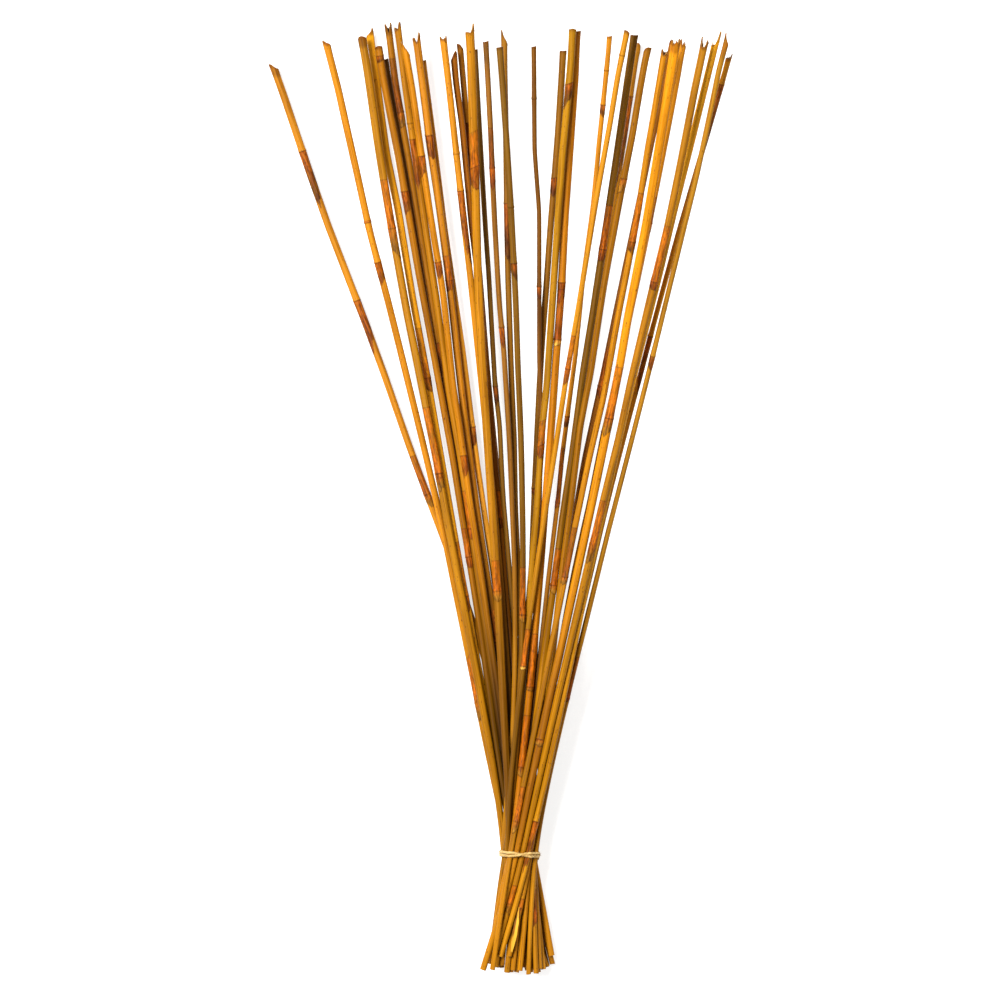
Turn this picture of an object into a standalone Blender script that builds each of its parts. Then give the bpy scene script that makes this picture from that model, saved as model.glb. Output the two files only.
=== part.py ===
"""A bunch of cut reeds, laid down and held near the foot by two turns of raffia.

The bunch lies on z = 0. +Y runs from the cut feet to the splayed tips, +X runs across
the fan and +Z is up. Every reed is one tapered tube and the raffia is one closed body.
Lengths are in millimetres up to the moment a point is handed to Blender.
"""

import math

import bmesh
import bpy
import numpy as np

MM = 0.001

# ---------------------------------------------------------------- driving dimensions
TIE_Y = -374.5             # where the raffia goes round
TIE_STRAND = 3.4           # diameter of one raffia strand
TIE_TURNS = 2
TIE_PITCH = 3.8            # one turn beside the next
TIE_STEPS = 22             # points on each turn
TIE_CLEAR = 0.75           # from the reeds' skin to the strand's skin
KNOT_SIZE = (8.0, 12.5, 8.5)
KNOT_ANGLE = -38.0         # degrees round the waist from +X, under the right flank
WAIST_CENTRE = (22.3, 26.0)
WAIST_SQUEEZE = 0.93       # the tie draws the reeds in across by this share
WAIST_WIDTH = (1.9, 0.53)  # reed diameter at the tie: a base, and a share of the tip's
BODY_Y = -240.0            # from here up a reed is nearly as wide as at its tip
BODY_SHARE = 0.78
TIP_SWELL = 1.08           # the skin's spread at a tip over the width read there
FOOT_GROWTH = 1.04         # the foot is a little wider than the waist
GAP = 0.5                  # kept between neighbouring reeds
LEAST_GAP = 0.25           # the build stops below this
LEVEL_WAIST = (6.8, 5.8)   # height of level 0 at the tie, and of each level above it
LEVEL_FOOT = (4.2, 4.2)    # the same at the feet
ROUNDS = 3000              # rounds of settling
QUIET_ROUNDS = 1700        # the last of them only part reeds that still touch

# Where a reed has its bends, between its own foot and its own tip.
BENDS = (-440.0, -405.0, -374.5, -345.0, -300.0, -240.0, -165.0, -75.0, 30.0, 140.0, 250.0,
         350.0, 430.0)
KNOTS_Y = (-374.5, -211.0, 0.0, 211.0, 422.0)

# One row a reed, from the left tip to the right tip:
# (tip x, y, z), x at y = 422, 211, 0, -211 and at the tie, (foot x, y), level, tip width.
# Level 0 is the bottom of the bunch at the tie and level 6 is the top.
REEDS = (
    ((-240, 458, 5), (-228, -152, -78, -1, 35), (52, -483), 0, 7.5),
    ((-184, 482, 34), (-171, -122, -62, -25, 7), (46, -495), 1, 7.3),
    ((-147, 487, 24), (-139, -103, -60, -20, 5), (21, -495), 2, 8.2),
    ((-138, 493, 6), (-131, -93, -53, -18, 11), (33, -498), 0, 7.5),
    ((-128, 478, 26), (-121, -80, -42, -6, 16), (37, -495), 1, 7.2),
    ((-121, 466, 5), (-115, -78, -39, -2, 23), (43, -494), 0, 6.3),
    ((-118, 501, 15), (-108, -73, -40, -1, 26), (49, -492), 0, 6.8),
    ((-109, 500, 27), (-99, -68, -37, 0, 21), (40, -500), 1, 6.8),
    ((-101, 477, 40), (-91, -60, -35, 0, 17), (25, -495), 2, 6.8),
    ((-89, 488, 30), (-78, -51, -30, 3, 22), (35, -500), 1, 7.6),
    ((-82, 464, 15), (-75, -49, -18, 10, 27), (42, -497), 1, 6.5),
    ((-60, 486, 54), (-52, -29, -6, 11, 20), (27, -495), 2, 6.8),
    ((-49, 468, 42), (-45, -22, -1, 15, 29), (33, -496), 2, 6.3),
    ((-43, 478, 30), (-37, -21, -1, 17, 33), (38, -497), 2, 5.8),
    ((-33, 493, 70), (-30, -23, -11, 5, 14), (21, -494), 3, 8.8),
    ((-27, 475, 44), (-25, -11, 3, 20, 35), (40, -496), 2, 5.3),
    ((-15, 483, 62), (-12, -4, 17, 20, 8), (1, -492), 3, 5.6),
    ((-1, 476, 92), (5, 17, 26, 25, 6), (-11, -491), 4, 6.3),
    ((5, 489, 46), (5, 8, 15, 22, 20), (10, -499), 3, 6.3),
    ((36, 478, 54), (36, 42, 45, 37, 22), (8, -500), 3, 4.7),
    ((66, 474, 38), (64, 46, 32, 29, 15), (4, -495), 3, 6.6),
    ((75, 495, 100), (70, 55, 40, 21, 9), (-3, -495), 3, 7.3),
    ((80, 493, 86), (75, 66, 47, 32, 8), (-8, -491), 5, 7.9),
    ((114, 488, 78), (109, 88, 58, 38, 18), (1, -493), 4, 5.0),
    ((134, 491, 110), (118, 82, 49, 17, 4), (-3, -494), 4, 5.6),
    ((142, 489, 84), (132, 97, 69, 39, 19), (8, -500), 4, 7.3),
    ((147, 481, 4), (137, 101, 65, 40, 26), (16, -500), 4, 6.3),
    ((156, 474, 94), (142, 106, 71, 49, 37), (38, -501), 5, 6.8),
    ((173, 469, 138), (166, 131, 81, 44, 10), (-9, -497), 6, 6.5),
    ((181, 479, 60), (172, 124, 78, 45, 22), (13, -498), 4, 6.3),
    ((184, 479, 152), (178, 140, 98, 54, 15), (-16, -497), 6, 8.8),
    ((191, 478, 112), (183, 144, 90, 52, 32), (20, -498), 5, 6.3),
    ((214, 478, 160), (204, 160, 107, 61, 22), (-8, -480), 6, 7.3),
    ((225, 480, 140), (211, 160, 108, 64, 29), (-1, -483), 6, 7.0),
    ((237, 483, 144), (226, 177, 123, 67, 40), (30, -502), 5, 5.5),
    ((240, 465, 122), (230, 165, 112, 65, 33), (9, -483), 6, 5.5),
)

DRY_REED = (0.72, 0.40, 0.08)
DARK_REED = (0.24, 0.11, 0.03)
RAFFIA = (0.87, 0.62, 0.26)


# ---------------------------------------------------------------- scene and materials
def clear_scene():
    for thing in list(bpy.data.objects):
        bpy.data.objects.remove(thing, do_unlink=True)


def material(name, colour, roughness):
    made = bpy.data.materials.new(name)
    made.use_nodes = True
    shader = made.node_tree.nodes["Principled BSDF"]
    shader.inputs["Base Color"].default_value = (*colour, 1.0)
    shader.inputs["Roughness"].default_value = roughness
    return made


def collection(name, parent=None):
    made = bpy.data.collections.new(name)
    (parent or bpy.context.scene.collection).children.link(made)
    return made


def mesh_object(name, mesh, into, skin):
    """An object for a finished mesh, smooth shaded, with one material."""
    made = bpy.data.objects.new(name, mesh)
    mesh.name = name
    mesh.materials.clear()
    mesh.materials.append(skin)
    for face in mesh.polygons:
        face.use_smooth = True
    into.objects.link(made)
    return made


def tube(name, points, radii):
    """A closed mesh round a path of points in millimetres, one radius at each point."""
    path = bpy.data.curves.new(name, "CURVE")
    path.dimensions = "3D"
    path.bevel_depth = MM
    path.bevel_resolution = 2
    path.use_fill_caps = True
    line = path.splines.new("POLY")
    line.points.add(len(points) - 1)
    for spot, place, radius in zip(line.points, points, radii):
        spot.co = (*(float(v) * MM for v in place), 1.0)
        spot.radius = float(radius)
    holder = bpy.data.objects.new(name, path)
    bpy.context.scene.collection.objects.link(holder)
    bpy.context.view_layer.update()
    mesh = bpy.data.meshes.new_from_object(holder)
    bpy.data.objects.remove(holder, do_unlink=True)
    bpy.data.curves.remove(path)
    work = bmesh.new()
    work.from_mesh(mesh)
    bmesh.ops.remove_doubles(work, verts=work.verts, dist=1e-6)
    bmesh.ops.recalc_face_normals(work, faces=work.faces)
    work.to_mesh(mesh)
    work.free()
    return mesh


# ---------------------------------------------------------------- how the reeds lie
def slopes(heights, values):
    """Tangents for a smooth run through a reed's knots, by the mean of the two sides."""
    rise = np.diff(values) / np.diff(heights)
    inner = (rise[1:] + rise[:-1]) / 2
    return np.concatenate([rise[:1], inner, rise[-1:]])


def smooth_run(heights, values, at):
    """A smooth curve through (heights, values), read at the given heights."""
    heights, values = np.asarray(heights, float), np.asarray(values, float)
    lean = slopes(heights, values)
    k = np.clip(np.searchsorted(heights, at) - 1, 0, len(heights) - 2)
    span = heights[k + 1] - heights[k]
    t = (at - heights[k]) / span
    return ((2 * t**3 - 3 * t**2 + 1) * values[k] + (t**3 - 2 * t**2 + t) * span * lean[k]
            + (3 * t**2 - 2 * t**3) * values[k + 1] + (t**3 - t**2) * span * lean[k + 1])


def first_paths():
    """Bend heights, first x and z at each bend, and the reed's radius there."""
    ys, xs, zs, radii = [], [], [], []
    for (tip_x, tip_y, tip_z), across, (foot_x, foot_y), level, tip_width in REEDS:
        y = np.array([foot_y, *BENDS, tip_y], float)
        tie_x = WAIST_CENTRE[0] + WAIST_SQUEEZE * (across[-1] - WAIST_CENTRE[0])
        x = smooth_run((foot_y, *KNOTS_Y, tip_y), (foot_x, tie_x, *across[-2::-1], tip_x), y)
        waist_z = LEVEL_WAIST[0] + LEVEL_WAIST[1] * level
        foot_z = LEVEL_FOOT[0] + LEVEL_FOOT[1] * level
        z = np.interp(y, (foot_y, TIE_Y, tip_y), (foot_z, waist_z, tip_z))
        waist_width = WAIST_WIDTH[0] + WAIST_WIDTH[1] * tip_width
        body_width = waist_width + BODY_SHARE * (tip_width - waist_width)
        width = np.interp(y, (foot_y, TIE_Y, BODY_Y, 150.0, tip_y),
                          (waist_width * FOOT_GROWTH, waist_width, body_width,
                           tip_width, tip_width * TIP_SWELL))
        ys.append(y)
        xs.append(x)
        zs.append(z)
        radii.append(width / 2)
    return np.array(ys), np.array(xs), np.array(zs), np.array(radii)


def share_of_bends(ys, stations):
    """For every reed and station, how much each bend counts on the straight run there."""
    share = np.zeros((len(ys), len(stations), ys.shape[1]))
    for reed, y in enumerate(ys):
        at = np.clip(stations, y[0], y[-1])
        k = np.clip(np.searchsorted(y, at) - 1, 0, len(y) - 2)
        t = (at - y[k]) / (y[k + 1] - y[k])
        rows = np.arange(len(stations))
        share[reed, rows, k] = 1 - t
        share[reed, rows, k + 1] += t
    return share


def spacing(x, z, radius, lean, present):
    """Offsets between all pairs of reeds at all stations, and how deep each pair overlaps."""
    across = x[:, None] - x[None]
    up = z[:, None] - z[None]
    apart = np.sqrt(across**2 + up**2) + 1e-9
    stretch = np.sqrt(1 + np.maximum(lean[:, None], lean[None])**2)
    both = present[:, None] & present[None] & ~np.eye(len(x), dtype=bool)[:, :, None]
    free = np.where(both, apart / stretch - radius[:, None] - radius[None], 1e3)
    return across / apart, up / apart, free


def settle(ys, xs, zs, radii):
    """Parts the reeds until no two touch, keeping each one straight and near its place."""
    stations = np.arange(-500.0, 502.0, 7.0)
    share = share_of_bends(ys, stations)
    present = (stations[None] > ys[:, :1] - 5) & (stations[None] < ys[:, -1:] + 5)
    radius = np.einsum("idc,ic->id", share, radii)
    wanted_x, wanted_z = xs.copy(), zs.copy()
    near_tie = np.exp(-((ys - TIE_Y) / 45.0)**2)
    floor = radii + (TIE_STRAND + TIE_CLEAR) * np.exp(-((ys - TIE_Y) / 22.0)**4)
    give_x = 0.12 + 0.88 * np.exp(-((stations - TIE_Y) / 130.0)**2)[None]
    before, after = ys[:, 1:-1] - ys[:, :-2], ys[:, 2:] - ys[:, 1:-1]
    for turn in range(ROUNDS):
        quiet = turn >= ROUNDS - QUIET_ROUNDS
        x, z = (np.einsum("idc,ic->id", share, v) for v in (xs, zs))
        lean = np.abs(np.gradient(x, stations, axis=1))
        to_side, to_top, free = spacing(x, z, radius, lean, present)
        deep = np.maximum(GAP - free, 0)
        push_x = (deep * to_side).sum(1) * give_x
        push_z = (deep * to_top).sum(1)
        hit = (deep > 0).any(1)
        count = np.maximum(np.einsum("idc,id->ic", share, hit.astype(float)), 0.4)
        xs = xs + 0.42 * np.einsum("idc,id->ic", share, push_x) / count
        zs = zs + 0.42 * np.einsum("idc,id->ic", share, push_z) / count
        for place, stiff in ((xs, 0.02), (zs, 0.05)):
            straight = (place[:, :-2] * after + place[:, 2:] * before) / (before + after)
            place[:, 1:-1] += (0.06 if quiet else 1.0) * stiff * (straight - place[:, 1:-1])
        if not quiet:
            xs += 0.03 * (wanted_x - xs)
            zs += 0.006 * (wanted_z - zs)
            xs -= 0.020 * near_tie * (xs - WAIST_CENTRE[0])
            zs -= 0.006 * near_tie * (zs - WAIST_CENTRE[1])
        zs = np.maximum(zs, floor)
    x, z = (np.einsum("idc,ic->id", share, v) for v in (xs, zs))
    lean = np.abs(np.gradient(x, stations, axis=1))
    least = spacing(x, z, radius, lean, present)[2].min()
    print("least gap between reeds, mm:", round(float(least), 3))
    print("moved across, mean and most, mm:", round(float(np.abs(xs - wanted_x).mean()), 2),
          round(float(np.abs(xs - wanted_x).max()), 2))
    if least < LEAST_GAP:
        raise RuntimeError("two reeds are closer than the least gap")
    return xs, zs


def home(ys, xs, zs, radii):
    """How far to move the bunch so that its box stands centred over the origin."""
    along = (ys.max() + ys.min()) / 2
    across = ((xs + radii).max() + (xs - radii).min()) / 2
    band = waist_band(ys, xs, zs, radii)
    middle, outward = knot_seat(band)
    hang = math.hypot(KNOT_SIZE[0] * outward[1], KNOT_SIZE[2] * outward[0]) / 2
    lowest = min((zs - radii).min(), band[:, 1].min() - TIE_STRAND / 2, middle[1] - hang)
    return -across, -along, -lowest


# ---------------------------------------------------------------- the raffia
def outline(circles):
    """Corners of the band stretched round circles (x, z, radius), turning left."""
    turn = np.linspace(0, 2 * math.pi, 48, endpoint=False)
    spots = [(x + r * math.cos(a), z + r * math.sin(a)) for x, z, r in circles for a in turn]
    spots = sorted(set(spots))
    halves = []
    for run in (spots, spots[::-1]):
        half = []
        for spot in run:
            while len(half) > 1 and cross(half[-2], half[-1], spot) <= 0:
                half.pop()
            half.append(spot)
        halves += half[:-1]
    return np.array(halves)


def cross(a, b, c):
    return (b[0] - a[0]) * (c[1] - a[1]) - (b[1] - a[1]) * (c[0] - a[0])


def waist_band(ys, xs, zs, radii):
    """The raffia's middle line round the reeds, over the stretch that it covers."""
    reach = TIE_PITCH * TIE_TURNS / 2
    circles = []
    for at in (TIE_Y - reach, TIE_Y, TIE_Y + reach):
        for y, x, z, r in zip(ys, xs, zs, radii):
            circles.append((np.interp(at, y, x), np.interp(at, y, z),
                            np.interp(at, y, r) + TIE_STRAND / 2 + TIE_CLEAR))
    return outline(circles)


def knot_corner(band):
    """Which point of the band carries the knot."""
    ray = np.array([math.cos(math.radians(KNOT_ANGLE)), math.sin(math.radians(KNOT_ANGLE))])
    return int(np.argmax((band - band.mean(0)) @ ray))


def knot_seat(band):
    """The middle of the knot, (x, z), and the way that it faces."""
    start = band[knot_corner(band)]
    outward = start - band.mean(0)
    outward /= np.linalg.norm(outward)
    return start + (KNOT_SIZE[0] / 2 - TIE_STRAND / 2 - 0.1) * outward, outward


def strand_path(band, tie_y):
    """Two turns on the band round the waist, starting and ending at the knot."""
    closed = np.vstack([band, band[:1]])
    run = np.concatenate([[0], np.cumsum(np.linalg.norm(np.diff(closed, axis=0), axis=1))])
    start = run[knot_corner(band)]
    path = []
    for step in range(TIE_TURNS * TIE_STEPS + 1):
        turns = step / TIE_STEPS
        at = (start + turns * run[-1]) % run[-1]
        y = tie_y + TIE_PITCH * (turns - TIE_TURNS / 2)
        path.append((np.interp(at, run, closed[:, 0]), y, np.interp(at, run, closed[:, 1])))
    return path


def knot(place, outward):
    """A small rounded lump over the strand's two ends."""
    work = bmesh.new()
    bmesh.ops.create_uvsphere(work, u_segments=12, v_segments=8, radius=0.5)
    for spot in work.verts:
        wide, long, high = (spot.co[k] * KNOT_SIZE[k] for k in range(3))
        spot.co = [(place[0] + wide * outward[0] - high * outward[1]) * MM,
                   (place[1] + long) * MM,
                   (place[2] + wide * outward[1] + high * outward[0]) * MM]
    mesh = bpy.data.meshes.new("knot")
    work.to_mesh(mesh)
    work.free()
    return mesh


def union(first, second, into):
    """The mesh of two closed meshes joined by an exact Boolean."""
    holders = []
    for name, mesh in (("join_a", first), ("join_b", second)):
        holder = bpy.data.objects.new(name, mesh)
        holder.hide_render = True
        holder.display_type = "WIRE"
        into.objects.link(holder)
        holders.append(holder)
    step = holders[0].modifiers.new("join", "BOOLEAN")
    step.operation = "UNION"
    step.solver = "EXACT"
    step.object = holders[1]
    bpy.context.view_layer.update()
    seen = holders[0].evaluated_get(bpy.context.evaluated_depsgraph_get())
    mesh = bpy.data.meshes.new_from_object(seen)
    for holder in holders:
        bpy.data.objects.remove(holder, do_unlink=True)
    return mesh


def build_tie(band, tie_y, into, cutters):
    path = strand_path(band, tie_y)
    strand = tube("raffia_strand", path, [TIE_STRAND / 2] * len(path))
    middle, outward = knot_seat(band)
    lump = knot((middle[0], tie_y, middle[1]), outward)
    mesh = union(strand, lump, cutters)
    mesh_object("raffia_tie", mesh, into, material("raffia", RAFFIA, 0.75))


# ---------------------------------------------------------------- the bunch
def build_reeds(ys, xs, zs, radii, into):
    for number, (y, x, z, r) in enumerate(zip(ys, xs, zs, radii), 1):
        name = f"reed_{number:02d}"
        level = REEDS[number - 1][3]
        shade = [dark + (dry - dark) * (0.45 + 0.09 * level)
                 for dark, dry in zip(DARK_REED, DRY_REED)]
        mesh = tube(name, np.column_stack([x, y, z]), r)
        mesh_object(name, mesh, into, material(name + "_skin", shade, 0.55))


def main():
    clear_scene()
    bunch = collection("bunch_of_reeds")
    cutters = collection("cutters", bunch)
    cutters.hide_render = True
    ys, xs, zs, radii = first_paths()
    xs, zs = settle(ys, xs, zs, radii)
    across, along, up = home(ys, xs, zs, radii)
    band = waist_band(ys, xs, zs, radii) + np.array([across, up])
    build_reeds(ys + along, xs + across, zs + up, radii, bunch)
    build_tie(band, TIE_Y + along, bunch, cutters)


main()
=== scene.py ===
"""Looks of a bunch of dried reeds, laid down and tied near the feet with raffia.

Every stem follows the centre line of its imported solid, and gets joints, sheath remains,
a hollow cut end and its own dried colour. Lengths are metres unless a name ends in _mm.
"""

import logging
import math
from dataclasses import dataclass, field
from enum import Enum
from functools import partial

import bpy
import numpy as np
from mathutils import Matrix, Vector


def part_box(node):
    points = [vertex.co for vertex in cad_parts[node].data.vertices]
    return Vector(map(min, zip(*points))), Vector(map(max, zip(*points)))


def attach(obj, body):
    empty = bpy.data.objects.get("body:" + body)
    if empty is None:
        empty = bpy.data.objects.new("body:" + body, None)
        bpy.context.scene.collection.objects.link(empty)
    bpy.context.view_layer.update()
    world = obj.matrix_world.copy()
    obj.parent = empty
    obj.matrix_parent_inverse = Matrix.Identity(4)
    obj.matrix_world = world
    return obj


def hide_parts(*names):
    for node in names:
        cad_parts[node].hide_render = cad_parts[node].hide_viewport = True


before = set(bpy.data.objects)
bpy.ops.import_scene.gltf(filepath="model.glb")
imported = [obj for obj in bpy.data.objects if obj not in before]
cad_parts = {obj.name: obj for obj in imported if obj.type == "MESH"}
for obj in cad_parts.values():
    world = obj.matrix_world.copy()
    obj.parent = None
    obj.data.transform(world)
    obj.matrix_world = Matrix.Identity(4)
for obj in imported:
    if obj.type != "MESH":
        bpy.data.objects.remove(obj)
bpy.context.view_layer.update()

LOG = logging.getLogger("reeds")
MM = 0.001
SIDES = 32                 # columns round a stem


# ------------------------------------------------------------------ named choices
class Tone(Enum):
    """Colours that the skin takes at a joint, as sRGB."""

    ORANGE = "#C8690E"
    RED = "#A24A12"
    BROWN = "#86420F"
    DARK = "#5A2C0C"
    TAN = "#A87A2C"
    GREY = "#8A6220"
    PALE = "#F0C060"

    @property
    def colour(self) -> np.ndarray:
        """The tone as linear red, green, blue and an alpha of 1."""
        return np.array(linear(self.value))


class Tip(Enum):
    """How torn the upper end of a stem is: the depth of its tears in mm, its fibres."""

    CLEAN = (0.7, 0)
    RAGGED = (1.8, 1)
    SPLINTERED = (2.6, 5)


# ------------------------------------------------------------------ small helpers
def linear(colour: str, alpha: float = 1.0) -> tuple[float, float, float, float]:
    """Turns an sRGB hex colour to the linear values that a shader takes.

    Args:
        colour: the colour as "#RRGGBB".
        alpha: the fourth value.

    Returns:
        Linear red, green, blue and the alpha.
    """
    parts = [int(colour[k:k + 2], 16) / 255 for k in (1, 3, 5)]
    flat = [p / 12.92 if p <= 0.04045 else ((p + 0.055) / 1.055) ** 2.4 for p in parts]
    return (*flat, alpha)


def smoothstep(low: float, high: float, value: np.ndarray) -> np.ndarray:
    """Rises from 0 at low to 1 at high with flat ends: 3t^2 - 2t^3."""
    t = np.clip((value - low) / (high - low), 0, 1)
    return t * t * (3 - 2 * t)


def bell(value: np.ndarray, width: float) -> np.ndarray:
    """A bell of height 1: exp(-(value / width)^2)."""
    return np.exp(-(value / width) ** 2)


def ripple(turn: np.ndarray, rng: np.random.Generator, first: int, last: int) -> np.ndarray:
    """A closed uneven line round a stem: a sum of cosines with random phases.

    Args:
        turn: angles round the stem, in radians.
        rng: the source of the phases.
        first: the slowest wave, in waves a turn.
        last: the fastest wave.

    Returns:
        Values of about -1 to 1, one for each angle.
    """
    waves = np.arange(first, last + 1)
    phase = rng.uniform(0, 2 * math.pi, len(waves))
    size = 1 / np.sqrt(waves - first + 1.0)
    return (np.cos(np.multiply.outer(turn, waves) + phase) * size).sum(-1) / size.sum()


def unit(vectors: np.ndarray) -> np.ndarray:
    """The same directions at length 1."""
    return vectors / np.linalg.norm(vectors, axis=-1, keepdims=True)


def distance_run(places: np.ndarray) -> np.ndarray:
    """The distance from a line's first place to each of its places."""
    return np.concatenate([[0], np.cumsum(np.linalg.norm(np.diff(places, axis=0), axis=1))])


def laid_over(dye: np.ndarray, weight: np.ndarray, colour: np.ndarray) -> np.ndarray:
    """One more stain over those before it: dye (1 - weight) + colour weight."""
    return dye * (1 - weight[..., None]) + colour * weight[..., None]


def grain_at(turn: np.ndarray, radius: np.ndarray | float, s: np.ndarray) -> np.ndarray:
    """Each point in the straightened piece: (radius cos turn, radius sin turn, s)."""
    return np.stack(np.broadcast_arrays(np.cos(turn) * radius, np.sin(turn) * radius, s), -1)


def skin_values(grain: np.ndarray, dye: np.ndarray, **shares: np.ndarray
                ) -> dict[str, np.ndarray]:
    """The attributes that the reed's two finishes read, at every point of a shell.

    Args:
        grain: each point in the straightened piece, in metres.
        dye: the stain's linear colour and its weight.
        shares: ring, depth (painted shade down the hollow), low (painted shade of the lower stem)
            and feet, from 0 to 1. One that is left out is 0.

    Returns:
        All six by name.
    """
    shape = grain.shape[:2]
    rest = {name: np.broadcast_to(shares.get(name, 0.0), shape)
            for name in ("ring", "depth", "low", "feet")}
    return {"grain": grain, "dye": dye, **rest}


def node(tree: bpy.types.NodeTree, kind: str, settings: dict[str, object] | None = None,
         links: dict[object, object] | None = None) -> bpy.types.Node:
    """Adds a shader node with its settings and links.

    Args:
        tree: the material's node tree.
        kind: the node's type name after "ShaderNode".
        settings: properties by name, input values by "in:" and the input's name or number,
            and a ramp's list of places and colours by "stops".
        links: the socket that feeds each input, by the input's name or number.

    Returns:
        The new node.
    """
    made = tree.nodes.new("ShaderNode" + kind)
    for name, value in (settings or {}).items():
        if name == "stops":
            elements = made.color_ramp.elements
            while len(elements) < len(value):
                elements.new(0.5)
            for element, (place, colour) in zip(elements, value):
                element.position = place
                element.color = colour
        elif name.startswith("in:"):
            key = name[3:]
            made.inputs[int(key) if key.isdigit() else key].default_value = value
        else:
            setattr(made, name, value)
    for name, source in (links or {}).items():
        tree.links.new(source, made.inputs[name])
    return made


def blank_material(name: str) -> tuple[bpy.types.Material, partial, bpy.types.Node]:
    """Makes a material that is still plain.

    Args:
        name: the material's name.

    Returns:
        The material, the function that adds a node to it, and its principled shader.
    """
    made = bpy.data.materials.new(name)
    made.use_nodes = True
    return made, partial(node, made.node_tree), made.node_tree.nodes["Principled BSDF"]


def finish(shader: bpy.types.Node, values: dict[str, object], links: dict[str, object]
           ) -> None:
    """Sets a shader's own values and links.

    Args:
        shader: the principled shader.
        values: the inputs that are the same all over, by name.
        links: the socket that feeds each other input, by name.
    """
    for name, value in values.items():
        shader.inputs[name].default_value = value
    for name, source in links.items():
        shader.id_data.links.new(source, shader.inputs[name])


@dataclass
class Shell:
    """One closed surface: rings of points along a path, and a pole at each end."""

    points: np.ndarray
    values: dict[str, np.ndarray] = field(default_factory=dict)
    cut_rows: tuple[int, int] = (0, 0)     # rows of faces at each end that the cut shows

    def corners(self) -> np.ndarray:
        """All points in order: the rings, then the two poles."""
        poles = np.stack([self.points[0].mean(0), self.points[-1].mean(0)])
        return np.vstack([self.points.reshape(-1, 3), poles])

    def spread(self, name: str) -> np.ndarray:
        """Reads a value at all points, the poles taking the mean of their ring.

        Args:
            name: the value's name.

        Returns:
            One row for each of the shell's corners.
        """
        value = self.values[name]
        poles = np.stack([value[0].mean(0), value[-1].mean(0)])
        return np.concatenate([value.reshape(-1, *value.shape[2:]), poles])

    def faces(self) -> tuple[np.ndarray, np.ndarray]:
        """Quads between neighbouring rings, and a fan of triangles to each pole.

        The winding is turned round where the shell's volume, the sum of each triangle's
        a . (b x c) / 6, is negative, so faces always point outwards.

        Returns:
            Four corner numbers for each quad and three for each triangle.
        """
        rows, columns = self.points.shape[:2]
        ring = np.arange(columns)
        after = np.roll(ring, -1)
        row = np.arange(rows - 1)[:, None] * columns
        quads = np.stack([row + ring, row + after, row + columns + after,
                          row + columns + ring], -1).reshape(-1, 4)
        last, pole = (rows - 1) * columns, np.full(columns, rows * columns)
        fans = np.vstack([np.stack([after, ring, pole], -1),
                          np.stack([last + ring, last + after, pole + 1], -1)])
        halves = np.vstack([quads[:, [0, 1, 2]], quads[:, [0, 2, 3]], fans])
        places = self.corners()
        a, b, c = (places[halves[:, k]] - places[0] for k in range(3))
        if np.einsum("ij,ij->i", a, np.cross(b, c)).sum() < 0:
            quads, fans = quads[:, ::-1], fans[:, ::-1]
        return quads, fans

    def slots(self) -> np.ndarray:
        """Each face's material number.

        Returns:
            1 on the cut rows and on the fans of a shell that has them, and 0 elsewhere.
        """
        rows, columns = self.points.shape[:2]
        low, high = self.cut_rows
        row = np.repeat(np.arange(rows - 1), columns)
        cut = (row < low) | (row >= rows - 1 - high)
        return np.concatenate([cut, np.full(2 * columns, low + high > 0)])


def shells_to_object(name: str, shells: list[Shell], skins: list[bpy.types.Material]
                     ) -> bpy.types.Object:
    """Makes one mesh object of closed shells.

    Args:
        name: the object's name.
        shells: the closed surfaces, which all have the first one's values.
        skins: the first material covers the shells, the second their cut rows.

    Returns:
        The object, at the origin with its place in its mesh.
    """
    corners, loops, sizes, start = [], [], [], 0
    for shell in shells:
        for faces in shell.faces():
            loops.append((faces + start).ravel())
            sizes.append(np.full(len(faces), faces.shape[1]))
        corners.append(shell.corners())
        start += len(corners[-1])
    corners, loops, sizes = (np.concatenate(v) for v in (corners, loops, sizes))
    mesh = bpy.data.meshes.new(name)
    mesh.vertices.add(len(corners))
    mesh.vertices.foreach_set("co", corners.astype(np.float32).ravel())
    mesh.loops.add(len(loops))
    mesh.loops.foreach_set("vertex_index", loops.astype(np.int32))
    mesh.polygons.add(len(sizes))
    starts = np.concatenate([[0], np.cumsum(sizes)[:-1]])
    mesh.polygons.foreach_set("loop_start", starts.astype(np.int32))
    mesh.polygons.foreach_set("use_smooth", np.ones(len(sizes), bool))
    for skin in skins:
        mesh.materials.append(skin)
    if len(skins) > 1:
        slots = np.concatenate([shell.slots() for shell in shells])
        mesh.polygons.foreach_set("material_index", slots.astype(np.int32))
    mesh.update(calc_edges=True)
    for key in shells[0].values:
        data = np.concatenate([shell.spread(key) for shell in shells]).astype(np.float32)
        kind, part = {1: ("FLOAT", "value"), 3: ("FLOAT_VECTOR", "vector"),
                      4: ("FLOAT_COLOR", "color")}[1 if data.ndim == 1 else data.shape[1]]
        mesh.attributes.new(key, kind, "POINT").data.foreach_set(part, data.ravel())
    mesh.validate()
    made = bpy.data.objects.new(name, mesh)
    bpy.context.scene.collection.objects.link(made)
    return made


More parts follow.
